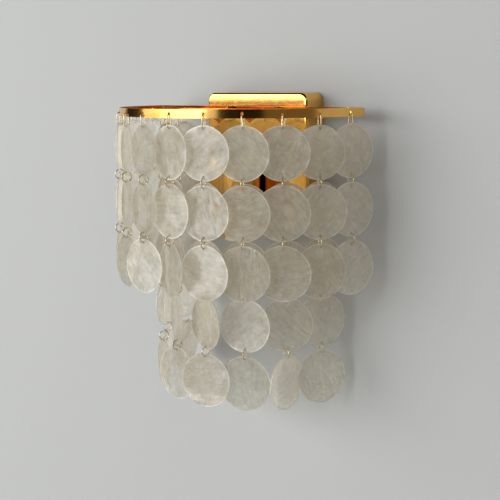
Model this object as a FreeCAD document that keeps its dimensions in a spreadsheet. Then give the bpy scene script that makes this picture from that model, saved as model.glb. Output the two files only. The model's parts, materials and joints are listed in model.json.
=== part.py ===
import FreeCAD, Part
import math
import os
import Sketcher

# Wall sconce: a square canopy on the wall carries a straight bar with two half-round hoops.
# Strings of round, flat shells hang from the hoops by wire links, long ones inside, short ones outside.
# +Z is up, +Y points into the wall, and the origin is the middle of the canopy's back, on the wall.

doc = FreeCAD.newDocument("ShellSconce")
dims = doc.addObject("Spreadsheet::Sheet", "Dims")

drivingSizes = [
    ("canopySide", 134),
    ("canopyDepth", 25),
    ("canopyCorner", 9),
    ("canopyEdge", 3),
    ("canopyWall", 1.5),
    ("plateWidth", 104),
    ("plateHeight", 118),
    ("plateThick", 2),
    ("wireHoleRadius", 16),
    ("boxScrewSpacing", 88.9),
    ("boxSlotWidth", 4.8),
    ("boxSlotLength", 14),
    ("studSpacing", 62),
    ("studRadius", 2),
    ("studHoleRadius", 2.2),
    ("capRadius", 4.2),
    ("capLength", 6.5),
    ("capDome", 1.8),
    ("hoopHeight", 49),
    ("stripTall", 8),
    ("stripThick", 1.2),
    ("outerRadius", 134),
    ("innerRadius", 92),
    ("hoopHole", 1.6),
    ("hoopSeat", 0.5),
    ("wireHalf", 0.5),
    ("outerFirst", 7.5),
    ("outerStep", 15),
    ("innerFirst", 6),
    ("innerStep", 24),
    ("shellRadius", 25.3),
    ("shellThick", 0.8),
    ("shellHole", 1.2),
    ("shellHoleOffset", 21),
    ("linkLength", 12.6),
    ("innerLinkExtra", 2),
    ("linkHalfWidth", 2.5),
    ("ringRadius", 4.6),
    ("lampReach", 22.5),
    ("lampTop", 7),
    ("cupRadius", 19.5),
    ("cupLength", 67),
    ("cupWall", 1),
    ("cupEdge", 0.6),
    ("insertRadius", 15),
    ("insertLength", 71),
    ("screwShellRadius", 13.3),
    ("screwShellWall", 0.3),
    ("screwShellDepth", 28),
    ("contactRadius", 4),
    ("contactTall", 3),
    ("strapWidth", 18),
    ("strapThick", 1.6),
    ("strapRise", 26),
    ("strapScrewRise", 16),
    ("headRadius", 4),
    ("headTall", 2),
    ("nippleRadius", 4.9),
    ("nippleWall", 1),
    ("nippleLength", 9),
    ("nutRadius", 8),
    ("nutTall", 3),
]
for row, (name, value) in enumerate(drivingSizes, start=1):
    dims.set("A%d" % row, name)
    dims.set("B%d" % row, str(value))
    dims.setAlias("B%d" % row, name)
doc.recompute()

shellSides = 16
ringSides = 6
holeSides = 8

# How far each shell hangs turned past the tangent of its hoop, from the right string to the left one.
# A turn brings the shell's right edge forward. Each line is a row, from the top one down.
outerTurns = [
    [8, 5, 9, 11, 3, 14, 8, 6, 10, 8, 8, 8],
    [9, 18, 12, 9, 7, 10, 8, 6, 10, 8, 8, 8],
    [8, 6, 16, 10, 11, 27, -6, -7, -7, -7, -7, -7],
]
innerTurns = [
    [9, 6, 11, 8, 10, 7, 9, 8],
    [7, 10, 8, 11, 9, 10, 7, 9],
    [10, 8, 12, 9, 12, 8, 10, 7],
    [19, 18, 16, 26, 19, 7, 9, 8],
    [16, -34, 13, -5, -10, -8, -8, -8],
]
subParts = []


def size(name):
    return float(dims.get(name))


def newBody(label):
    body = doc.addObject("PartDesign::Body", label)
    body.Label = label
    body.AllowCompound = True
    subParts.append(body)
    return body


def place(body, x="0", y="0", z="0", turn=None):
    body.Placement = FreeCAD.Placement(FreeCAD.Vector(0, 0, 0), FreeCAD.Rotation(FreeCAD.Vector(0, 0, 1), 0))
    body.setExpression("Placement.Base.x", x)
    body.setExpression("Placement.Base.y", y)
    body.setExpression("Placement.Base.z", z)
    if turn is not None:
        body.Placement.Rotation.Axis = FreeCAD.Vector(0, 0, 1)
        body.setExpression("Placement.Rotation.Angle", turn)


def originFeature(body, role):
    return [item for item in body.Origin.OriginFeatures if item.Role == role][0]


def newSketch(body, name, role, shift=(0, 0, 0), axis=(0, 1, 0), angle=0):
    sketch = body.newObject("Sketcher::SketchObject", name)
    sketch.AttachmentSupport = [(originFeature(body, role), "")]
    sketch.MapMode = "FlatFace"
    rotation = FreeCAD.Rotation(FreeCAD.Vector(*axis), angle)
    sketch.AttachmentOffset = FreeCAD.Placement(FreeCAD.Vector(*shift), rotation)
    return sketch


def circle(sketch, radius, x="0", y="0"):
    """A circle whose radius and centre are bound to the sheet."""
    start = FreeCAD.Vector(evaluate(x), evaluate(y), 0)
    index = sketch.addGeometry(Part.Circle(start, FreeCAD.Vector(0, 0, 1), evaluate(radius)))
    bind(sketch, Sketcher.Constraint("Radius", index, evaluate(radius)), radius)
    pin(sketch, index, 3, x, y)
    return index


def evaluate(expression):
    return float(dims.evalExpression(expression.replace("Dims.", "")))


def bind(sketch, constraint, expression):
    number = sketch.addConstraint(constraint)
    sketch.setExpression("Constraints[%d]" % number, expression)


def pin(sketch, index, vertex, x, y):
    """Fixes a point at (x, y) from the sketch's origin, by coincidence where a distance is nothing."""
    if abs(evaluate(x)) < 1e-9 and abs(evaluate(y)) < 1e-9:
        sketch.addConstraint(Sketcher.Constraint("Coincident", index, vertex, -1, 1))
        return
    for kind, text, onAxis in (("DistanceX", x, -2), ("DistanceY", y, -1)):
        if abs(evaluate(text)) < 1e-9:
            sketch.addConstraint(Sketcher.Constraint("PointOnObject", index, vertex, onAxis))
        else:
            bind(sketch, Sketcher.Constraint(kind, -1, 1, index, vertex, evaluate(text)), text)


def outline(sketch, corners):
    """A closed line through the corners, each bound to its two expressions."""
    points = [FreeCAD.Vector(evaluate(x), evaluate(y), 0) for x, y in corners]
    first = None
    for number, point in enumerate(points):
        after = points[(number + 1) % len(points)]
        index = sketch.addGeometry(Part.LineSegment(point, after))
        first = index if first is None else first
    for number, (x, y) in enumerate(corners):
        before = first + (number - 1) % len(corners)
        sketch.addConstraint(Sketcher.Constraint("Coincident", before, 2, first + number, 1))
        pin(sketch, first + number, 1, x, y)


def rectangle(sketch, width, height, x="0", y="0"):
    halfWidth = "(%s) / 2" % width
    halfHeight = "(%s) / 2" % height
    corners = []
    for signX, signY in ((-1, -1), (1, -1), (1, 1), (-1, 1)):
        corners.append(("%s + %d * %s" % (x, signX, halfWidth), "%s + %d * %s" % (y, signY, halfHeight)))
    outline(sketch, corners)


def polygon(sketch, sides, radius, y="0", first=0):
    """A regular outline about (0, y), given by the radius over its corners and its first corner's angle."""
    corners = []
    for index in range(sides):
        turn = first + 360 * index / sides
        corners.append(("%s * cos(%g)" % (radius, turn), "%s + %s * sin(%g)" % (y, radius, turn)))
    outline(sketch, corners)


def longLoop(sketch, half, top, bottom):
    """An upright eight-sided outline, as wide as two halves, with its four corners cut alike."""
    flat = "(%s) * tan(22.5)" % half
    cut = "(%s) * (1 - tan(22.5))" % half
    down = [(flat, top), (half, "%s - %s" % (top, cut)), (half, "%s + %s" % (bottom, cut)), (flat, bottom)]
    up = [("-(%s)" % x, y) for x, y in reversed(down)]
    outline(sketch, down + up)


def pad(body, sketch, length, name, midplane=False, reverse=False):
    feature = body.newObject("PartDesign::Pad", name)
    feature.Profile = sketch
    feature.setExpression("Length", length)
    feature.Midplane = midplane
    feature.Reversed = reverse
    body.Tip = feature
    return feature


def pocket(body, sketch, length, name, reverse=False):
    """A pocket that must take material away: its direction is checked by the volume."""
    doc.recompute()
    before = body.Shape.Volume
    feature = body.newObject("PartDesign::Pocket", name)
    feature.Profile = sketch
    feature.setExpression("Length", length)
    feature.Reversed = reverse
    body.Tip = feature
    doc.recompute()
    if body.Shape.Volume > before - 0.01:
        raise RuntimeError("%s takes nothing from %s" % (name, body.Label))
    return feature


def revolve(body, sketch, axis, angle, name):
    feature = body.newObject("PartDesign::Revolution", name)
    feature.Profile = sketch
    feature.ReferenceAxis = (sketch, [axis])
    feature.Angle = angle
    body.Tip = feature
    return feature


def tangentLoop(sketch, centres, radius, sweep):
    """A closed outline of equal arcs about the centres, in turn, joined by tangent lines."""
    number = evaluate(radius)
    arcs = []
    for index, (x, y) in enumerate(centres):
        middle = FreeCAD.Vector(evaluate(x), evaluate(y), 0)
        start = math.radians(sweep * (index - 0.5 if sweep == 180 else index))
        ring = Part.Circle(middle, FreeCAD.Vector(0, 0, 1), number)
        arc = sketch.addGeometry(Part.ArcOfCircle(ring, start, start + math.radians(sweep)))
        pin(sketch, arc, 3, x, y)
        arcs.append(arc)
    bind(sketch, Sketcher.Constraint("Radius", arcs[0], number), radius)
    for arc in arcs[1:]:
        sketch.addConstraint(Sketcher.Constraint("Equal", arcs[0], arc))
    for index, arc in enumerate(arcs):
        after = arcs[(index + 1) % len(arcs)]
        ends = Part.LineSegment(sketch.getPoint(arc, 2), sketch.getPoint(after, 1))
        line = sketch.addGeometry(ends)
        sketch.addConstraint(Sketcher.Constraint("Tangent", arc, 2, line, 1))
        sketch.addConstraint(Sketcher.Constraint("Tangent", line, 2, after, 1))


def slot(sketch, length, width, x):
    """A round-ended slot along the sketch's X axis, with its middle at (x, 0)."""
    reach = "((%s) - (%s)) / 2" % (length, width)
    centres = [("%s + %s" % (x, reach), "0"), ("%s - %s" % (x, reach), "0")]
    tangentLoop(sketch, centres, "(%s) / 2" % width, 180)


def roundedSquare(sketch, side, radius):
    reach = "((%s) / 2 - (%s))" % (side, radius)
    centres = [(reach, reach), ("-" + reach, reach), ("-" + reach, "-" + reach), (reach, "-" + reach)]
    tangentLoop(sketch, centres, radius, 90)


def easeEdges(body, kind, amount, name, test):
    """Rounds or chamfers the edges of the tip that pass the test on their end points."""
    doc.recompute()
    base = body.Tip
    names = []
    for number, edge in enumerate(base.Shape.Edges, start=1):
        if test([vertex.Point for vertex in edge.Vertexes]):
            names.append("Edge%d" % number)
    feature = body.newObject("PartDesign::" + kind, name)
    feature.Base = (base, names)
    feature.setExpression("Radius" if kind == "Fillet" else "Size", amount)
    body.Tip = feature
    return feature


def studPositions():
    return ["%d * Dims.studSpacing / 2" % side for side in (-1, 1)]


def makeWallPlate():
    body = newBody("wall_plate")
    sketch = newSketch(body, "PlateOutline", "XZ_Plane")
    rectangle(sketch, "Dims.plateWidth", "Dims.plateHeight")
    circle(sketch, "Dims.wireHoleRadius")
    for side in (-1, 1):
        slot(sketch, "Dims.boxSlotLength", "Dims.boxSlotWidth", "%d * Dims.boxScrewSpacing / 2" % side)
    pad(body, sketch, "Dims.plateThick", "Plate")
    place(body)


def makeCanopy():
    """A pressed square cover, open at the back, with its corners and its front edge rounded."""
    body = newBody("canopy")
    sketch = newSketch(body, "CanopyOutline", "XZ_Plane")
    roundedSquare(sketch, "Dims.canopySide", "Dims.canopyCorner")
    pad(body, sketch, "Dims.canopyDepth", "Block")
    front = 0.01 - size("canopyDepth")
    easeEdges(body, "Fillet", "Dims.canopyEdge", "FrontEdge", lambda ends: all(end.y < front for end in ends))
    inside = newSketch(body, "Inside", "XZ_Plane")
    roundedSquare(inside, "Dims.canopySide - 2 * Dims.canopyWall", "Dims.canopyCorner - Dims.canopyWall")
    pocket(body, inside, "Dims.canopyDepth - Dims.canopyWall", "Hollow", reverse=True)
    holes = newSketch(body, "StudHoles", "XZ_Plane")
    for x in studPositions():
        circle(holes, "Dims.studHoleRadius", x, "Dims.hoopHeight")
    pocket(body, holes, "Dims.canopyDepth + 1", "StudCut", reverse=True)
    place(body)


def makeStud(label, x):
    body = newBody(label)
    sketch = newSketch(body, "StudSection", "XZ_Plane")
    circle(sketch, "Dims.studRadius")
    pad(body, sketch, "Dims.canopyDepth - Dims.plateThick + Dims.stripThick + Dims.capLength / 2", "Shank")
    place(body, x, "-Dims.plateThick", "Dims.hoopHeight")


def makeCapNut(label, x):
    """A round nut with a bevelled end and a blind hole for its stud."""
    body = newBody(label)
    outside = newSketch(body, "NutSection", "XZ_Plane")
    circle(outside, "Dims.capRadius")
    pad(body, outside, "Dims.capLength", "Nut")
    front = 0.01 - size("capLength")
    easeEdges(body, "Chamfer", "Dims.capDome", "Bevel", lambda ends: all(end.y < front for end in ends))
    hole = newSketch(body, "StudHole", "XZ_Plane")
    circle(hole, "Dims.studRadius")
    pocket(body, hole, "Dims.capLength / 2", "Bore", reverse=True)
    place(body, x, "-Dims.canopyDepth - Dims.stripThick", "Dims.hoopHeight")


def makeRearBar():
    """The straight strip across the canopy that carries both hoops."""
    body = newBody("rear_bar")
    sketch = newSketch(body, "BarFace", "XZ_Plane")
    rectangle(sketch, "2 * Dims.outerRadius + Dims.stripThick", "Dims.stripTall")
    for x in studPositions():
        circle(sketch, "Dims.studHoleRadius", x)
    pad(body, sketch, "Dims.stripThick", "Bar")
    place(body, "0", "-Dims.canopyDepth", "Dims.hoopHeight")


def makeHoop(label, radius, first, step, strands):
    """A half-round strip on edge, with one small hole for each string."""
    body = newBody(label)
    section = newSketch(body, "StripSection", "XZ_Plane")
    rectangle(section, "Dims.stripThick", "Dims.stripTall", radius)
    revolve(body, section, "V_Axis", 180, "Strip")
    hole = newSketch(body, "WireHole", "YZ_Plane", angle=size(first))
    polygon(hole, holeSides, "Dims.hoopHole", first=180 / holeSides)
    cut = pocket(body, hole, radius + " + Dims.stripThick", "WireCut", reverse=True)
    pattern = body.newObject("PartDesign::PolarPattern", "WireCuts")
    pattern.Originals = [cut]
    pattern.Axis = (originFeature(body, "Z_Axis"), [""])
    pattern.Occurrences = strands
    pattern.setExpression("Angle", "%d * %s" % (strands - 1, "Dims." + step))
    body.Tip = pattern
    place(body, "0", "-Dims.canopyDepth - Dims.stripThick", "Dims.hoopHeight", "180")


def strandAngle(first, step, index):
    return "(Dims.%s + %d * Dims.%s)" % (first, index, step)


def placeStrand(body, radius, angle):
    """Puts a string's top on its hole in the hoop, with its X axis along the hoop's tangent."""
    x = "%s * cos(%s)" % (radius, angle)
    y = "-Dims.canopyDepth - Dims.stripThick - %s * sin(%s)" % (radius, angle)
    place(body, x, y, "Dims.hoopHeight", "90 - %s" % angle)


def linkLength(inner):
    return size("linkLength") + (size("innerLinkExtra") if inner else 0)


def holePlay():
    """How far a wire's middle lies from the middle of the shell's hole that rests on it."""
    return size("shellHole") - size("wireHalf")


def shellDrop(inner, row):
    """From the hoop's hole down to the middle of a shell."""
    first = size("hoopSeat") + linkLength(inner) + holePlay() + size("shellHoleOffset")
    return first + row * 2 * (size("shellHoleOffset") + holePlay() + size("ringRadius"))


def makeShells(label, radius, angle, turns, inner):
    """The shells of one string: thin round plates, each with a hole near its top and its bottom."""
    body = newBody(label)
    for row, turn in enumerate(turns):
        shift = (0, -shellDrop(inner, row), 0)
        sketch = newSketch(body, "Shell%d" % (row + 1), "XZ_Plane", shift=shift, angle=-turn)
        polygon(sketch, shellSides, "Dims.shellRadius", first=180 / shellSides)
        for side in (1, -1):
            rectangle(sketch, "2 * Dims.shellHole", "2 * Dims.shellHole", "0", "%d * Dims.shellHoleOffset" % side)
        pad(body, sketch, "Dims.shellThick", "Plate%d" % (row + 1), midplane=True)
    placeStrand(body, radius, angle)


def makeLinks(label, radius, angle, turns, inner):
    """The wire of one string: a long link through the hoop, then a ring between each two shells.

    Each link stands across the plates that it joins, halfway between their turns, and its level
    ends rest on the edges of their holes.
    """
    body = newBody(label)
    thick = "2 * Dims.wireHalf"
    link = newSketch(body, "LinkOutline", "YZ_Plane", angle=-turns[0] / 2)
    length = "Dims.linkLength + Dims.innerLinkExtra" if inner else "Dims.linkLength"
    for side in (1, -1):
        edge = "%d * Dims.wireHalf" % side
        top = "-Dims.hoopSeat + " + edge
        bottom = "-Dims.hoopSeat - (%s) - %s" % (length, edge)
        longLoop(link, "Dims.linkHalfWidth + " + edge, top, bottom)
    pad(body, link, thick, "Link", midplane=True)
    for row in range(1, len(turns)):
        shift = (0, -(shellDrop(inner, row - 1) + shellDrop(inner, row)) / 2, 0)
        turn = -(turns[row - 1] + turns[row]) / 2
        ring = newSketch(body, "RingOutline%d" % row, "YZ_Plane", shift=shift, angle=turn)
        for side in (1, -1):
            flat = "(Dims.ringRadius + %d * Dims.wireHalf)" % side
            polygon(ring, ringSides, "%s / cos(%g)" % (flat, 180 / ringSides))
        pad(body, ring, thick, "Ring%d" % row, midplane=True)
    placeStrand(body, radius, angle)


def makeTier(name, radius, first, step, rows, inner):
    for index, turns in enumerate(zip(*rows)):
        angle = strandAngle(first, step, index)
        makeShells("%s_shells_%02d" % (name, index + 1), radius, angle, turns, inner)
        makeLinks("%s_links_%02d" % (name, index + 1), radius, angle, turns, inner)


def lampY():
    return "-Dims.canopyDepth - Dims.lampReach"


def turned(body, name, corners):
    """A solid of revolution about the body's Z axis from a closed half section."""
    section = newSketch(body, name + "Section", "XZ_Plane")
    outline(section, corners)
    return revolve(body, section, "V_Axis", 360, name)


def makeLampCup():
    """The cylindrical cup round the lampholder, closed at the top and open at the bottom."""
    body = newBody("lamp_cup")
    wall = "Dims.cupWall"
    corners = [("Dims.nippleRadius", "0"), ("Dims.cupRadius", "0"), ("Dims.cupRadius", "-Dims.cupLength"),
               ("Dims.cupRadius - " + wall, "-Dims.cupLength"), ("Dims.cupRadius - " + wall, "-" + wall),
               ("Dims.nippleRadius", "-" + wall)]
    turned(body, "Cup", corners)
    reach = size("cupRadius") - 0.01
    easeEdges(body, "Chamfer", "Dims.cupEdge", "Shoulder",
              lambda ends: all(abs(end.z) < 0.01 and end.Length > reach for end in ends))
    place(body, "0", lampY(), "-Dims.lampTop")


def makeLampInsert():
    """The insulating body of the lampholder, a deep cup with its mouth down."""
    body = newBody("lamp_insert")
    top = "-Dims.cupWall"
    mouth = "-Dims.insertLength"
    floor = "-Dims.insertLength + Dims.screwShellDepth + Dims.contactTall"
    bore = "Dims.screwShellRadius"
    corners = [("0", top), ("Dims.insertRadius", top), ("Dims.insertRadius", mouth), (bore, mouth),
               (bore, floor), ("0", floor)]
    turned(body, "Insert", corners)
    place(body, "0", lampY(), "-Dims.lampTop")


def makeScrewShell():
    """The metal sleeve that a lamp's cap screws into."""
    body = newBody("screw_shell")
    mouth = "-Dims.insertLength + 1"
    end = "-Dims.insertLength + Dims.screwShellDepth"
    inner = "Dims.screwShellRadius - Dims.screwShellWall"
    corners = [(inner, mouth), ("Dims.screwShellRadius", mouth), ("Dims.screwShellRadius", end), (inner, end)]
    turned(body, "Sleeve", corners)
    place(body, "0", lampY(), "-Dims.lampTop")


def makeContact():
    body = newBody("centre_contact")
    top = "-Dims.insertLength + Dims.screwShellDepth + Dims.contactTall"
    corners = [("0", top), ("Dims.contactRadius", top), ("Dims.contactRadius", top + " - Dims.contactTall"),
               ("0", top + " - Dims.contactTall")]
    turned(body, "Contact", corners)
    place(body, "0", lampY(), "-Dims.lampTop")


def makeStrap():
    """The bent strap that holds the cup: one leg on the canopy, one leg out over the cup."""
    body = newBody("lamp_strap")
    thick = "Dims.strapThick"
    reach = "(Dims.lampReach + Dims.strapWidth / 2)"
    profile = newSketch(body, "StrapProfile", "YZ_Plane")
    corners = [("0", "0"), ("0", "Dims.strapRise"), ("-" + thick, "Dims.strapRise"), ("-" + thick, thick),
               ("-" + reach, thick), ("-" + reach, "0")]
    outline(profile, corners)
    pad(body, profile, "Dims.strapWidth", "Strap", midplane=True)
    out = newSketch(body, "NippleHole", "XY_Plane")
    circle(out, "Dims.nippleRadius", "0", "-Dims.lampReach")
    pocket(body, out, "Dims.strapThick", "NippleCut", reverse=True)
    screw = newSketch(body, "ScrewHole", "XZ_Plane")
    circle(screw, "Dims.studRadius", "0", "Dims.strapScrewRise")
    pocket(body, screw, "Dims.strapThick", "ScrewCut", reverse=True)
    place(body, "0", "-Dims.canopyDepth", "-Dims.lampTop")


def makeStrapScrew():
    """The pan-head screw that holds the strap to the canopy."""
    body = newBody("strap_screw")
    shank = newSketch(body, "ShankSection", "XZ_Plane")
    circle(shank, "Dims.studRadius")
    pad(body, shank, "Dims.strapThick", "Shank")
    head = newSketch(body, "HeadSection", "XZ_Plane", shift=(0, 0, size("strapThick")))
    circle(head, "Dims.headRadius")
    pad(body, head, "Dims.headTall", "Head")
    place(body, "0", "-Dims.canopyDepth", "-Dims.lampTop + Dims.strapScrewRise")


def makeNipple():
    """The threaded tube from the cup's top through the strap, bored for the wires."""
    body = newBody("nipple")
    low = "-Dims.cupWall"
    high = "Dims.nippleLength - Dims.cupWall"
    bore = "Dims.nippleRadius - Dims.nippleWall"
    corners = [(bore, low), ("Dims.nippleRadius", low), ("Dims.nippleRadius", high), (bore, high)]
    turned(body, "Tube", corners)
    place(body, "0", lampY(), "-Dims.lampTop")


def makeNippleNut():
    body = newBody("nipple_nut")
    sketch = newSketch(body, "NutOutline", "XY_Plane")
    corners = []
    for corner in range(6):
        turn = 60 * corner
        corners.append(("Dims.nutRadius * cos(%d)" % turn, "Dims.nutRadius * sin(%d)" % turn))
    outline(sketch, corners)
    circle(sketch, "Dims.nippleRadius")
    pad(body, sketch, "Dims.nutTall", "Nut")
    place(body, "0", lampY(), "-Dims.lampTop + Dims.strapThick")


makeWallPlate()
makeCanopy()
for side, x in zip(("left", "right"), studPositions()):
    makeStud("stud_" + side, x)
    makeCapNut("cap_nut_" + side, x)
makeRearBar()
makeHoop("outer_hoop", "Dims.outerRadius", "outerFirst", "outerStep", len(outerTurns[0]))
makeHoop("inner_hoop", "Dims.innerRadius", "innerFirst", "innerStep", len(innerTurns[0]))
makeStrap()
makeStrapScrew()
makeNipple()
makeNippleNut()
makeLampCup()
makeLampInsert()
makeScrewShell()
makeContact()
makeTier("outer", "Dims.outerRadius", "outerFirst", "outerStep", outerTurns, False)
makeTier("inner", "Dims.innerRadius", "innerFirst", "innerStep", innerTurns, True)
doc.recompute()

for item in doc.Objects:
    if "Invalid" in item.State or "Error" in item.State:
        raise RuntimeError("%s did not build: %s" % (item.Name, item.State))
for body in subParts:
    if body.Shape.isNull() or not body.Shape.isValid():
        raise RuntimeError("%s has no valid shape" % body.Label)

os.makedirs("parts", exist_ok=True)
for body in subParts:
    body.Shape.exportStep("parts/%s.step" % body.Label)
    print(body.Label, "%.0f mm3" % body.Shape.Volume, len(body.Shape.Solids), "solids")
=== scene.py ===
import bpy
import bmesh
import json
import math
from mathutils import Matrix, Vector, noise


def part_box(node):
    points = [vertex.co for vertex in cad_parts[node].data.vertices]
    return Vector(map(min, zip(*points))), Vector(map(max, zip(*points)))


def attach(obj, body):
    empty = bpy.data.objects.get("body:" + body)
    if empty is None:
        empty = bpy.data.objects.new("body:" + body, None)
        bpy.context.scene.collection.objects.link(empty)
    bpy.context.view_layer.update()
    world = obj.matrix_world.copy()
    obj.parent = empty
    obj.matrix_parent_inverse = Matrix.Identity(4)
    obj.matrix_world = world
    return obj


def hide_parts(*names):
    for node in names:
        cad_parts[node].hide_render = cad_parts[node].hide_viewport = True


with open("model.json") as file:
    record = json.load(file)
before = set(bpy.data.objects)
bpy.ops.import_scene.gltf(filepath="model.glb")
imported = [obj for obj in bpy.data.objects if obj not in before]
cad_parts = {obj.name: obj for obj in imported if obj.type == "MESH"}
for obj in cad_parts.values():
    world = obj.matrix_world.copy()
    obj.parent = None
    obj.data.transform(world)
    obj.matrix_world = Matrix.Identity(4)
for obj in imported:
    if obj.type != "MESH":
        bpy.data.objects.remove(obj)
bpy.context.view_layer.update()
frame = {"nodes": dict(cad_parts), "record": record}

print("frame loaded")

# The view: level, from the right of the lamp, with the picture moved down so that upright lines stay upright
view = {
    "yaw": 42.03,            # degrees round from straight ahead
    "distance": 1.005,       # from the front of the canopy, m
    "height": 0.0722,
    "lens": 72.0,
    "shift": (-0.0100, -0.3258),
    "roll": -0.333,
    "sensor": 36.0,
    "nearest": 0.02,
}

quarterTurn = math.radians(90.0)

stageSizes = {
    "wall": 3.2,
    "wallBack": 0.0006,
    "wallHole": 0.062,       # half the side of an opening behind the canopy, so that its back can be seen
    "floorDrop": 1.3,
    "wallColor": (0.445, 0.456, 0.454),
    "floorColor": (0.55, 0.54, 0.52),
}

lights = {
    "window": {"place": (-1.203, -3.815, 0.69), "aim": (0.0, 0.0, 0.69), "size": (2.99, 1.62),
               "power": 80.0, "color": (0.98, 0.99, 1.0)},
    "sideWindow": {"place": (-3.042, -2.598, 0.755), "aim": (0.0, 0.0, 0.755), "size": (1.6, 1.48),
                   "power": 39.0, "color": (0.98, 0.99, 1.0)},
    "curtain": {"place": (0.555, -3.96, 0.69), "aim": (0.0, 0.0, 0.69), "size": (0.62, 1.62), "power": 3.4,
                "color": (1.0, 0.97, 0.93)},
    "lowWindow": {"place": (-1.9, -3.52, -0.75), "aim": (0.0, 0.0, -0.75), "size": (4.4, 1.0), "power": 54.0,
                  "color": (1.0, 0.98, 0.95)},
    "lowGlow": {"place": (-3.0, -2.56, -0.12), "aim": (0.0, 0.0, -0.12), "size": (1.6, 0.2), "power": 0.25,
                "color": (1.0, 0.38, 0.06)},
    "fill": {"place": (2.6, -1.7, 1.5), "aim": (0.0, -0.1, -0.1), "size": (1.6, 1.6), "power": 9.0,
             "color": (1.0, 0.93, 0.84)},
    "warmRoom": {"place": (2.8, -1.07, 0.0), "aim": (0.0, 0.0, 0.0), "size": (2.2, 1.8), "power": 1.7,
                 "color": (1.0, 0.86, 0.70)},
    # behind the wall: it reaches nothing but the canopy's back
    "rear": {"place": (-1.7, 2.4, 0.9), "aim": (0.0, 0.0, 0.0), "size": (3.4, 2.6), "power": 60.0,
             "color": (1.0, 0.99, 0.97)},
}

room = {
    "light": (0.60, 0.59, 0.58, 1.0),
    "mirrored": (0.014, 0.009, 0.006, 1.0),     # what polished metal shows of the room behind the viewer
    "strength": 0.42,
}

shell = {
    "radius": 0.025,
    "thick": 0.0007,
    "holeRadius": 0.0012,
    "holeOffset": 0.021,
    "rimSides": 64,
    "holeSides": 12,
    "trim": 0.0004,          # the rim stays this far inside the full radius
    "rimWave": 0.00035,
    "rimWaves": 1.6,         # how often the rim's wave repeats
    "dish": 0.0006,
    "ripple": 0.00045,
    "rippleWaves": 1.3,
    "cuts": 3,
    # each shell's number, from its string and its row, moves it through these noises
    "seedPerString": 0.731,
    "seedPerRow": 2.137,
    "seedInner": 17.3,
    "rimSeed": 5.0,
    "liftSeed": 9.0,
    "dishWaves": 0.01,
    "grainTurn": 2.4,
}

string = {
    "outerDrop": 0.0348,     # from the hoop's hole to the first shell's middle
    "innerDrop": 0.0368,
    "pitch": 0.0526,
    "seat": 0.0005,          # the hinge lies this far under the middle of the hole
    # how far each shell is turned past the hoop's tangent, from the right string to the left one, row by row
    "outerTurns": [(8, 5, 9, 11, 3, 14, 8, 6, 10, 8, 8, 8),
                   (9, 18, 12, 9, 7, 10, 8, 6, 10, 8, 8, 8),
                   (8, 6, 16, 10, 11, 27, -6, -7, -7, -7, -7, -7)],
    "innerTurns": [(9, 6, 11, 8, 10, 7, 9, 8),
                   (7, 10, 8, 11, 9, 10, 7, 9),
                   (10, 8, 12, 9, 12, 8, 10, 7),
                   (19, 18, 16, 26, 19, 7, 9, 8),
                   (16, -34, 13, -5, -10, -8, -8, -8)],
}

link = {
    "wire": 0.0005,
    "sides": 8,
    "steps": 10,             # round half a turn
    "halfWidth": 0.0025,
    "outerLength": 0.0126,
    "innerLength": 0.0146,
    "ringRadius": 0.0046,
    "merge": 0.00002,
}

sharpAngle = 50.0


class Wire:
    # one output of a node; sums and products of it add Math nodes to the same material
    def __init__(self, tree, socket):
        self.tree = tree
        self.socket = socket

    def sum(self, operation, other):
        return self.tree.add("ShaderNodeMath", {"operation": operation}, {0: self, 1: other})

    def __add__(self, other):
        return self.sum("ADD", other)

    def __radd__(self, other):
        return self.sum("ADD", other)

    def __sub__(self, other):
        return self.sum("SUBTRACT", other)

    def __mul__(self, other):
        return self.sum("MULTIPLY", other)

    def __rmul__(self, other):
        return self.sum("MULTIPLY", other)


class Finish:
    # one material and its nodes
    def __init__(self, name):
        self.material = bpy.data.materials.new(name)
        self.material.use_nodes = True
        self.nodes = self.material.node_tree.nodes
        self.links = self.material.node_tree.links
        self.nodes.clear()

    def add(self, kind, settings=None, values=None, output=0):
        node = self.nodes.new(kind)
        for key, value in (settings or {}).items():
            if key == "ramp":
                self.ramp(node.color_ramp, value)
            else:
                setattr(node, key, value)
        for key, value in (values or {}).items():
            self.put(node.inputs[key], value)
        return Wire(self, node.outputs[output])

    def put(self, socket, value):
        if isinstance(value, Wire):
            self.links.new(value.socket, socket)
        else:
            socket.default_value = value

    def ramp(self, ramp, stops):
        while len(ramp.elements) > 1:
            ramp.elements.remove(ramp.elements[-1])
        ramp.elements[0].position = stops[0][0]
        ramp.elements[0].color = stops[0][1]
        for place, color in stops[1:]:
            ramp.elements.new(place).color = color

    def steps(self, value, stops):
        grey = [(place, (level, level, level, 1.0)) for place, level in stops]
        return self.add("ShaderNodeValToRGB", {"ramp": grey}, {0: value})

    def colors(self, value, stops):
        return self.add("ShaderNodeValToRGB", {"ramp": stops}, {0: value})

    def blend(self, factor, first, second):
        return self.add("ShaderNodeMix", {"data_type": "RGBA"}, {0: factor, 6: first, 7: second}, 2)

    def noise(self, where, scale, detail=3.0, rough=0.5, stretch=None):
        if stretch:
            where = self.add("ShaderNodeMapping", None, {"Vector": where, "Scale": stretch})
        values = {"Vector": where, "Scale": scale, "Detail": detail, "Roughness": rough}
        return self.add("ShaderNodeTexNoise", None, values)

    def bump(self, height, strength, distance, normal=None):
        values = {"Height": height, "Strength": strength, "Distance": distance}
        if normal is not None:
            values["Normal"] = normal
        return self.add("ShaderNodeBump", None, values)

    def finish(self, surface):
        end = self.nodes.new("ShaderNodeOutputMaterial")
        self.links.new(surface.socket, end.inputs["Surface"])
        return self.material


def objectPlace(finish):
    return finish.add("ShaderNodeTexCoord", None, None, 3)


# Polished gold sheet metal with a faint grain, soft wipe marks and slow changes of tone
goldColors = {
    "light": (0.90, 0.54, 0.155, 1.0),
    "deep": (0.82, 0.44, 0.10, 1.0),
    "roughness": 0.045,
}

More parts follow.
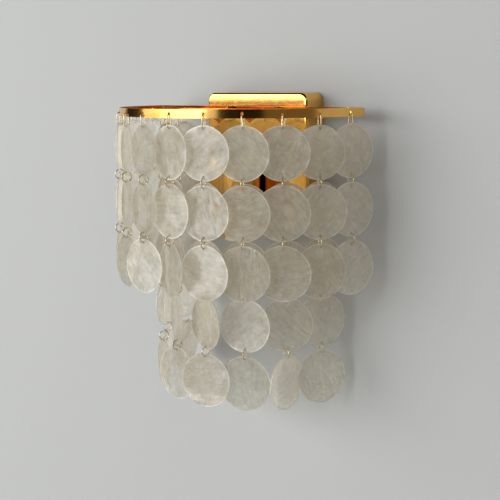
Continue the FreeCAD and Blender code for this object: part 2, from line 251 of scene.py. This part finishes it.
# the noises' scale, detail and roughness, the stops they are cut at, and each bump's strength and depth
goldGrain = {
    "cloud": (22.0, 4.0, 0.55),
    "wipe": (160.0, 3.0, 0.6),
    "fine": (900.0, 2.0, 0.5),
    "toneStops": [(0.35, 0.0), (0.68, 1.0)],
    "wipeStops": [(0.5, 0.0), (0.8, 1.0)],
    "wipeRough": 0.02,
    "cloudRough": 0.015,
    "fineBump": (0.006, 0.0003),
    "cloudBump": (0.012, 0.0008),
}


def makeGold(name, colors):
    finish = Finish(name)
    place = objectPlace(finish)
    cloud, wipe, fine = [finish.noise(place, *goldGrain[kind]) for kind in ("cloud", "wipe", "fine")]
    tone = finish.steps(cloud, goldGrain["toneStops"])
    base = finish.blend(tone, colors["light"], colors["deep"])
    wiped = finish.steps(wipe, goldGrain["wipeStops"])
    rough = colors["roughness"] + goldGrain["wipeRough"] * wiped + goldGrain["cloudRough"] * cloud
    normal = finish.bump(fine, *goldGrain["fineBump"], finish.bump(cloud, *goldGrain["cloudBump"]))
    surface =finish.add("ShaderNodeBsdfPrincipled", None, {
        "Base Color": base, "Metallic": 1.0, "Roughness": rough, "Normal": normal})
    return finish.finish(surface)


# Zinc-plated steel, dull and a little mottled
def makeSteel():
    finish = Finish("platedSteel")
    place = objectPlace(finish)
    cloud = finish.noise(place, 60.0, 5.0, 0.6)
    base = finish.colors(cloud, [(0.3, (0.42, 0.43, 0.44, 1.0)), (0.7, (0.62, 0.63, 0.63, 1.0))])
    surface = finish.add("ShaderNodeBsdfPrincipled", None, {
        "Base Color": base, "Metallic": 1.0, "Roughness": 0.32 + 0.2 * cloud,
        "Normal": finish.bump(cloud, 0.08, 0.0005)})
    return finish.finish(surface)


# White glazed insulator
def makeInsulator():
    finish = Finish("whiteGlaze")
    place = objectPlace(finish)
    cloud = finish.noise(place, 90.0, 3.0)
    base = finish.colors(cloud, [(0.3, (0.80, 0.79, 0.75, 1.0)), (0.7, (0.88, 0.87, 0.84, 1.0))])
    surface = finish.add("ShaderNodeBsdfPrincipled", None, {
        "Base Color": base, "Roughness": 0.22 + 0.1 * cloud, "Coat Weight": 0.3,
        "Normal": finish.bump(cloud, 0.05, 0.0005)})
    return finish.finish(surface)


# Window shell: thin, milky and pearly, with growth bands, fine crackle, flaking layers, a few brown specks
# and a painted highlight all round its rim
shellColors = {
    "pale": (0.95, 0.94, 0.88, 1.0),
    "warm": (0.78, 0.69, 0.51, 1.0),
    "grey": (0.67, 0.66, 0.60, 1.0),
    # rim: the pale of flakes and crackle lines, and also the painted highlight laid along each shell's edge
    # on every side
    "rim": (0.97, 0.96, 0.93, 1.0),
    "speck": (0.20, 0.11, 0.045, 1.0),
    "glow": (0.96, 0.92, 0.80, 1.0),
    "through": 0.34,         # the share of light that comes through, scattered
}

# what each noise of the shell is made with: its scale, detail, roughness and stretch
shellGrain = {
    "cloud": (0.9, 4.0, 0.55),
    "streak": (1.7, 5.0, 0.62, (1.0, 6.0, 1.0)),
    "flake": (2.8, 6.0, 0.6),
    "hair": (9.0, 3.0, 0.6, (1.0, 9.0, 1.0)),
    "speck": (8.5, 2.0, 0.5),
    "crack": 5.5,
    "umbo": (0.2, 1.9, 0.0),     # the growth bands run round this place, past the rim
    "bands": 26.0,
    "bandWander": 14.0,
    "shifts": (7.3, 3.1, 11.7),
}

shellMasks = {
    "warm": [(0.38, 0.0), (0.66, 0.9)],
    "grey": [(0.44, 0.0), (0.68, 0.8)],
    "pale": [(0.50, 0.0), (0.68, 0.6)],
    "line": [(0.0, 0.20), (0.03, 0.0)],
    # rim: where the painted highlight lies, in the last hundredths of the radius
    "rim": [(0.93, 0.0), (0.975, 1.0)],
    "spots": [(0.75, 0.0), (0.79, 0.7)],
    "warmSpread": 0.4,       # how much more warm one shell may be than another
    "warmShift": 0.2,
    "bandTint": 0.14,
    # how strongly the painted highlight is laid along the rim
    "rimHighlightTint": 0.65,
}

# how solid the shell is: each one differs, and flakes, streaks, rim and specks are denser; the rim is where
# the painted highlight lies
shellBody = {"least": 0.18, "chance": 0.40, "flake": 0.9, "streak": 0.6, "rim": 0.45, "spots": 0.5}

# what raises its surface, and the strength and depth of the fine bump and of the broad one
shellRelief = {"streak": 0.7, "flake": 0.5, "band": 0.1, "hair": 0.12,
               "fine": (0.8, 0.0045), "broad": (0.8, 0.008)}


def makeShellFinish():
    finish = Finish("windowShell")
    local = finish.add("ShaderNodeUVMap", {"uv_map": "shellMap"})
    seed = finish.add("ShaderNodeAttribute", {"attribute_name": "shellSeed"}, None, 2)
    shifts = {axis: seed * amount for axis, amount in enumerate(shellGrain["shifts"])}
    shift = finish.add("ShaderNodeCombineXYZ", None, shifts)
    place = finish.add("ShaderNodeVectorMath", {"operation": "ADD"}, {0: local, 1: shift})
    reach = finish.add("ShaderNodeVectorMath", {"operation": "LENGTH"}, {0: local}, 1)
    chance = finish.add("ShaderNodeTexWhiteNoise", {"noise_dimensions": "1D"}, {"W": seed})
    cloud, streak, flake, hair, speck = [
        finish.noise(place, *shellGrain[kind]) for kind in ("cloud", "streak", "flake", "hair", "speck")]
    crack = finish.add("ShaderNodeTexVoronoi", {"feature": "DISTANCE_TO_EDGE"},
                       {"Vector": place, "Scale": shellGrain["crack"], "Randomness": 1.0})
    umbo = finish.add("ShaderNodeVectorMath", {"operation": "ADD"}, {0: local, 1: shellGrain["umbo"]})
    away = finish.add("ShaderNodeVectorMath", {"operation": "LENGTH"}, {0: umbo}, 1)
    wander = away * shellGrain["bands"] + cloud * shellGrain["bandWander"]
    band = finish.add("ShaderNodeMath", {"operation": "SINE"}, {0: wander}) * 0.5 + 0.5
    warmth = cloud + shellMasks["warmSpread"] * chance - shellMasks["warmShift"]
    warmMask = finish.steps(warmth, shellMasks["warm"])
    greyMask = finish.steps(streak, shellMasks["grey"])
    paleMask = finish.steps(flake, shellMasks["pale"])
    base = finish.blend(warmMask, shellColors["pale"], shellColors["warm"])
    base = finish.blend(greyMask, base, shellColors["grey"])
    base = finish.blend(band * shellMasks["bandTint"], base, shellColors["warm"])
    base = finish.blend(paleMask, base, shellColors["rim"])
    line = finish.steps(crack, shellMasks["line"])
    # painted highlight: each shell's edge, painted paler all round and made more solid
    rim = finish.steps(reach, shellMasks["rim"])
    base = finish.blend(line, base, shellColors["rim"])
    # lays the painted rim highlight over the colour
    base = finish.blend(rim * shellMasks["rimHighlightTint"], base, shellColors["rim"])
    spots = finish.steps(speck, shellMasks["spots"])
    base = finish.blend(spots, base, shellColors["speck"])
    body = (shellBody["least"] + shellBody["chance"] * chance + shellBody["flake"] * (flake - 0.5)
            + shellBody["streak"] * (streak - 0.5) + shellBody["rim"] * rim + shellBody["spots"] * spots)
    relief = (streak * shellRelief["streak"] + flake * shellRelief["flake"] + band * shellRelief["band"]
              + hair * shellRelief["hair"] - line)
    normal = finish.bump(relief, *shellRelief["fine"], finish.bump(cloud, *shellRelief["broad"]))
    front = finish.add("ShaderNodeBsdfPrincipled", None, {
        "Base Color": base, "Metallic": 0.08 + 0.26 * cloud, "Roughness": 0.26 + 0.22 * streak,
        "Coat Weight": 0.85 + 0.3 * cloud, "Coat Roughness": 0.14, "Coat IOR": 2.2,
        "Specular IOR Level": 0.9, "Normal": normal, "Alpha": finish.add("ShaderNodeClamp", None, {0: body})})
    glow = finish.add("ShaderNodeBsdfTranslucent", None, {"Color": shellColors["glow"], "Normal": normal})
    surface = finish.add("ShaderNodeMixShader", None, {0: shellColors["through"], 1: front, 2: glow})
    return finish.finish(surface)


gold = makeGold("goldSheet", goldColors)
hoopGold = makeGold("goldStrip", {**goldColors, "roughness": 0.14})
wireGold = makeGold("paleGoldWire", {"light": (0.83, 0.70, 0.44, 1.0), "deep": (0.62, 0.47, 0.24, 1.0),
                                     "roughness": 0.2})
lampBrass = makeGold("lampBrass", {"light": (0.80, 0.62, 0.30, 1.0), "deep": (0.60, 0.42, 0.18, 1.0),
                                   "roughness": 0.25})
steel = makeSteel()
glaze = makeInsulator()
shellFinish = makeShellFinish()
print("finishes made")

slotFinish = {"gold_metal": gold, "wire": wireGold, "steel": steel, "insulator": glaze,
              "lamp_brass": lampBrass, "shell": shellFinish}
slotOfNode = {part["node"]: part["material_slot"] for part in frame["record"]["subparts"]}
for node, item in frame["nodes"].items():
    item.data.materials.clear()
    item.data.materials.append(hoopGold if node.endswith("_hoop") else slotFinish[slotOfNode[node]])
print("CAD nodes dressed")


def dataFrom(mesh, name):
    data = bpy.data.meshes.new(name)
    mesh.to_mesh(data)
    mesh.free()
    return data


def rimRadius(angle, seed):
    waves = shell["rimWaves"]
    around = Vector((math.cos(angle) * waves, math.sin(angle) * waves, seed * shell["rimSeed"]))
    return shell["radius"] - shell["trim"] + shell["rimWave"] * noise.noise(around)


def shellLift(x, y, seed):
    # how far the shell's middle surface stands off its flat plane
    across = Vector((x / shell["radius"], y / shell["radius"], seed * shell["liftSeed"]))
    side = 1.0 if noise.noise(across * shell["dishWaves"]) > 0 else -1.0
    bowl = shell["dish"] * (across.x ** 2 + across.y ** 2 - 0.5) * side
    return bowl + shell["ripple"] * noise.noise(across * shell["rippleWaves"])


def cutPlate(mesh, seed):
    # a flat plate with two wire holes, in many small faces
    rim = bmesh.ops.create_circle(mesh, segments=shell["rimSides"], radius=shell["radius"])["verts"]
    for vert in rim:
        vert.co = vert.co.normalized() * rimRadius(math.atan2(vert.co.y, vert.co.x), seed)
    for side in (-1, 1):
        shift = Matrix.Translation((0.0, side * shell["holeOffset"], 0.0))
        bmesh.ops.create_circle(mesh, segments=shell["holeSides"], radius=shell["holeRadius"], matrix=shift)
    bmesh.ops.triangle_fill(mesh, edges=mesh.edges[:], use_beauty=True, use_dissolve=False)
    bmesh.ops.subdivide_edges(mesh, edges=mesh.edges[:], cuts=shell["cuts"], use_grid_fill=True)
    bmesh.ops.recalc_face_normals(mesh, faces=mesh.faces[:])
    if mesh.faces[:][0].normal.z < 0:
        bmesh.ops.reverse_faces(mesh, faces=mesh.faces[:])


def makeShell(place, seed):
    # the plate is lifted into a shallow uneven dish, then given its thickness and set in its place
    mesh = bmesh.new()
    cutPlate(mesh, seed)
    flat = mesh.loops.layers.uv.new("shellMap")
    grain = Matrix.Rotation(seed * shell["grainTurn"], 2)
    seeds = mesh.faces.layers.float.new("shellSeed")
    for face in mesh.faces:
        face[seeds] = seed
        for loop in face.loops:
            loop[flat].uv = grain @ (loop.vert.co.xy / shell["radius"])
    for vert in mesh.verts:
        vert.co.z = shellLift(vert.co.x, vert.co.y, seed) + shell["thick"] / 2
    bmesh.ops.solidify(mesh, geom=mesh.faces[:], thickness=shell["thick"])
    bmesh.ops.transform(mesh, verts=mesh.verts[:], matrix=place)
    return dataFrom(mesh, "plate")


def makeRing(mesh, radius, straight):
    # round wire bent to a ring, or with straight sides to a long loop, from its upper bend's middle down
    section = bmesh.ops.create_circle(mesh, segments=link["sides"], radius=link["wire"],
                                      matrix=Matrix.Translation((radius, 0.0, 0.0)))["verts"]
    ends = list({edge for vert in section for edge in vert.link_edges})
    for half in (0, 1):
        middle = (0.0, 0.0, -straight * half)
        turned = bmesh.ops.spin(mesh, geom=section + ends, cent=middle, axis=(0.0, 1.0, 0.0),
                                angle=-math.pi, steps=link["steps"])["geom_last"]
        if straight:
            edges = [item for item in turned if isinstance(item, bmesh.types.BMEdge)]
            turned = bmesh.ops.extrude_edge_only(mesh, edges=edges)["geom"]
            moved = [item for item in turned if isinstance(item, bmesh.types.BMVert)]
            way = straight if half else -straight
            bmesh.ops.translate(mesh, verts=moved, vec=(0.0, 0.0, way))
        section = [item for item in turned if isinstance(item, bmesh.types.BMVert)]
        ends = [item for item in turned if isinstance(item, bmesh.types.BMEdge)
                and item.verts[0] in section and item.verts[1] in section]
    bmesh.ops.remove_doubles(mesh, verts=mesh.verts[:], dist=link["merge"])
    bmesh.ops.recalc_face_normals(mesh, faces=mesh.faces[:])


def makeLink(place, radius, straight):
    mesh = bmesh.new()
    makeRing(mesh, radius, straight)
    bmesh.ops.transform(mesh, verts=mesh.verts[:], matrix=place)
    return dataFrom(mesh, "loop")


def joinMeshes(name, parts, body, node, finish):
    # one piece from several small meshes, riding on its string
    mesh = bmesh.new()
    for part in parts:
        mesh.from_mesh(part)
        bpy.data.meshes.remove(part)
    data = dataFrom(mesh, name)
    data.shade_smooth()
    data.set_sharp_from_angle(angle=math.radians(sharpAngle))
    piece = bpy.data.objects.new(name, data)
    bpy.context.collection.objects.link(piece)
    data.materials.append(finish)
    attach(piece, body)
    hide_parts(node)


def standAt(top, drop, angle, turn):
    # below a string's top, with X along the hoop's tangent and turned so that the right edge comes forward
    return Matrix.Translation(top - Vector((0.0, 0.0, drop))) @ Matrix.Rotation(
        math.radians(90.0 - turn) - angle, 4, "Z")


def makeStrings():
    for joint in frame["record"]["behaviour"]["joints"]:
        body = joint["child"]
        tier = body.split("_")[0]
        number = int(body.split("_")[-1])
        turns = [row[number - 1] for row in string[tier + "Turns"]]
        angle = math.atan2(-joint["axis"][0], -joint["axis"][1])
        top = Vector(joint["pos_m"]) + Vector((0.0, 0.0, string["seat"]))
        upright = Matrix.Rotation(quarterTurn, 4, "X")
        across = Matrix.Rotation(quarterTurn, 4, "Z")
        drops = [string[tier + "Drop"] + row * string["pitch"] for row in range(len(turns))]
        plates = []
        for row, (turn, drop) in enumerate(zip(turns, drops)):
            seed = number * shell["seedPerString"] + row * shell["seedPerRow"] + (
                shell["seedInner"] if tier == "inner" else 0.0)
            plates.append(makeShell(standAt(top, drop, angle, turn) @ upright, seed))
        joinMeshes(body.replace("strand", "plates"), plates, body, body.replace("strand", "shells"),
                   shellFinish)
        length = link[tier + "Length"]
        place = standAt(top, string["seat"] + link["halfWidth"], angle, turns[0] / 2) @ across
        loops = [makeLink(place, link["halfWidth"], length - 2 * link["halfWidth"])]
        for row in range(1, len(turns)):
            middle = (drops[row - 1] + drops[row]) / 2
            place = standAt(top, middle, angle, (turns[row - 1] + turns[row]) / 2) @ across
            loops.append(makeLink(place, link["ringRadius"], 0.0))
        joinMeshes(body.replace("strand", "wire"), loops, body, body.replace("strand", "links"),
                   wireGold)


makeStrings()
print("strings made")


def stageFinish(name, color, seeThroughBack=False):
    finish = Finish(name)
    place = objectPlace(finish)
    cloud = finish.noise(place, 3.0, 2.0)
    tone = finish.steps(cloud, [(0.3, 0.0), (0.7, 0.06)])
    base = finish.blend(tone, (*color, 1.0), (0.5, 0.5, 0.49, 1.0))
    paint = finish.add("ShaderNodeBsdfPrincipled", None, {"Base Color": base, "Roughness": 0.9})
    if seeThroughBack:
        back = finish.add("ShaderNodeNewGeometry", None, None, 6)
        clear = finish.add("ShaderNodeBsdfTransparent")
        paint = finish.add("ShaderNodeMixShader", None, {0: back, 1: paint, 2: clear})
    return finish.finish(paint)


def squareRing(mesh, size, hole):
    # a flat square with a square opening, both given by half their side
    corners = ((-1, -1), (1, -1), (1, 1), (-1, 1))
    outer, inner = [
        [mesh.verts.new((x * half, y * half, 0.0)) for x, y in corners] for half in (size, hole)]
    for side in range(len(corners)):
        after = (side + 1) % len(corners)
        mesh.faces.new((outer[side], outer[after], inner[after], inner[side]))


def makeStagePlane(name, size, matrix, finish, hole=0.0):
    mesh = bmesh.new()
    if hole:
        squareRing(mesh, size, hole)
    else:
        bmesh.ops.create_grid(mesh, x_segments=1, y_segments=1, size=size)
    bmesh.ops.transform(mesh, verts=mesh.verts[:], matrix=matrix)
    data = dataFrom(mesh, name)
    plane = bpy.data.objects.new(name, data)
    bpy.context.collection.objects.link(plane)
    data.materials.append(finish)


def makeStage():
    back = stageSizes["wallBack"]
    upright = Matrix.Translation((0.0, back, 0.0)) @ Matrix.Rotation(quarterTurn, 4, "X")
    paint = stageFinish("wallPaint", stageSizes["wallColor"], True)
    makeStagePlane("wall", stageSizes["wall"], upright, paint, stageSizes["wallHole"])
    low = Matrix.Translation((0.0, 0.0, -stageSizes["floorDrop"]))
    makeStagePlane("floor", stageSizes["wall"], low, stageFinish("floorPaint", stageSizes["floorColor"]))


def aimAt(item, target):
    direction = Vector(target) - item.location
    item.rotation_euler = direction.to_track_quat("-Z", "Y").to_euler()


def makeLights():
    for name, lamp in lights.items():
        data = bpy.data.lights.new(name, "AREA")
        data.shape = "RECTANGLE"
        data.size, data.size_y = lamp["size"]
        data.energy = lamp["power"]
        data.color = lamp["color"]
        item = bpy.data.objects.new(name, data)
        item.location = lamp["place"]
        bpy.context.collection.objects.link(item)
        aimAt(item, lamp["aim"])


def makeWorld():
    world = bpy.data.worlds.new("room")
    bpy.context.scene.world = world
    world.use_nodes = True
    nodes = world.node_tree.nodes
    links = world.node_tree.links
    plain = nodes["Background"]
    plain.inputs["Color"].default_value = room["light"]
    plain.inputs["Strength"].default_value = room["strength"]
    mirrored = nodes.new("ShaderNodeBackground")
    mirrored.inputs["Color"].default_value = room["mirrored"]
    mirrored.inputs["Strength"].default_value = 1.0
    path = nodes.new("ShaderNodeLightPath")
    either = nodes.new("ShaderNodeMixShader")
    links.new(path.outputs["Is Glossy Ray"], either.inputs[0])
    links.new(plain.outputs[0], either.inputs[1])
    links.new(mirrored.outputs[0], either.inputs[2])
    links.new(either.outputs[0], nodes["World Output"].inputs["Surface"])


def makeCamera():
    data = bpy.data.cameras.new("viewer")
    data.lens = view["lens"]
    data.sensor_width = view["sensor"]
    data.sensor_fit = "HORIZONTAL"
    data.shift_x, data.shift_y = view["shift"]
    data.clip_start = view["nearest"]
    camera = bpy.data.objects.new("viewer", data)
    yaw = math.radians(view["yaw"])
    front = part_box("canopy")[0][1]
    away = view["distance"]
    camera.location = (math.sin(yaw) * away, front - math.cos(yaw) * away, view["height"])
    facing = Matrix.Rotation(yaw, 4, "Z") @ Matrix.Rotation(quarterTurn, 4, "X")
    camera.rotation_euler = (facing @ Matrix.Rotation(math.radians(view["roll"]), 4, "Z")).to_euler()
    bpy.context.collection.objects.link(camera)
    bpy.context.scene.camera = camera


makeStage()
makeLights()
makeWorld()
makeCamera()
bpy.context.scene.view_settings.view_transform = "Standard"
print("stage, lights and camera set")
